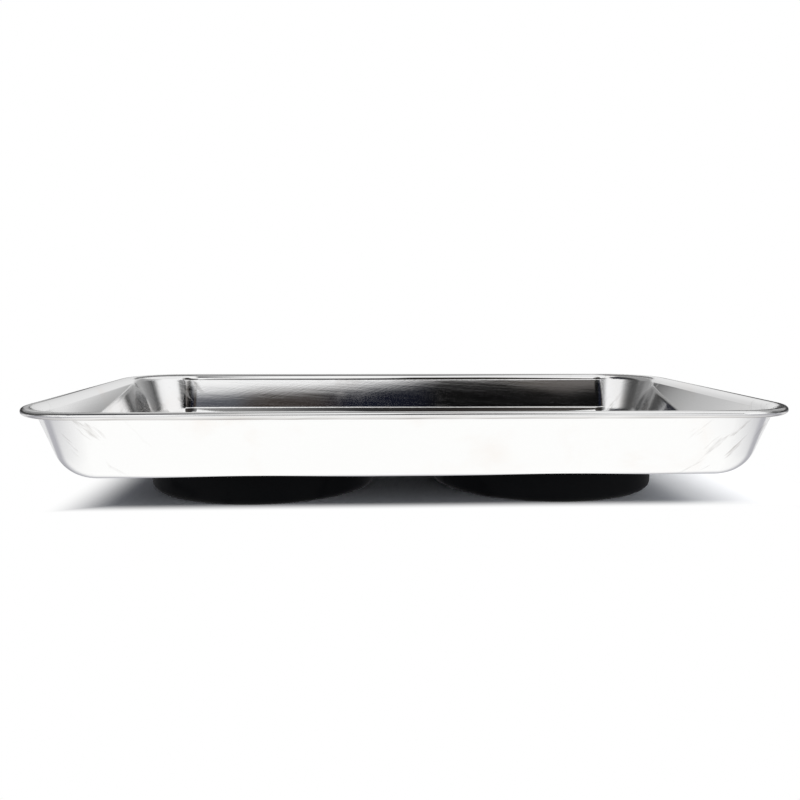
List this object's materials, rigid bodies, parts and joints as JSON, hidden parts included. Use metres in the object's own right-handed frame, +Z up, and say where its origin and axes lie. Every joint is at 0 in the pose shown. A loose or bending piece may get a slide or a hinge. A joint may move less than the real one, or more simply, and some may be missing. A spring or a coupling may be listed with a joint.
{
  "type": "magnetic parts tray",
  "caption": "Rectangular polished steel dish with sloping walls and a rolled rim, on round magnets in black rubber boots, that holds small steel parts and grips a steel bench.",
  "frame": {"origin": "on the ground, under the middle of the dish", "axes": "+X along the dish's length, +Y along its width, +Z up"},
  "size_m": [0.24, 0.14, 0.0346],
  "materials": {
    "dish_steel": "polished",
    "boot_rubber": "matte",
    "cup_steel": "satin",
    "ferrite": "matte",
    "zinc_steel": "satin",
    "spring_steel": "satin"
  },
  "bodies": {
    "root": {"dish": "dish_steel", "left_boot": "boot_rubber", "right_boot": "boot_rubber", "left_cup": "cup_steel", "right_cup": "cup_steel", "left_magnet": "ferrite", "right_magnet": "ferrite", "left_stud": "zinc_steel", "right_stud": "zinc_steel", "left_washer": "zinc_steel", "right_washer": "zinc_steel", "left_spring_washer": "spring_steel", "right_spring_washer": "spring_steel", "left_nut": "zinc_steel", "right_nut": "zinc_steel"}
  },
  "joints": []
}
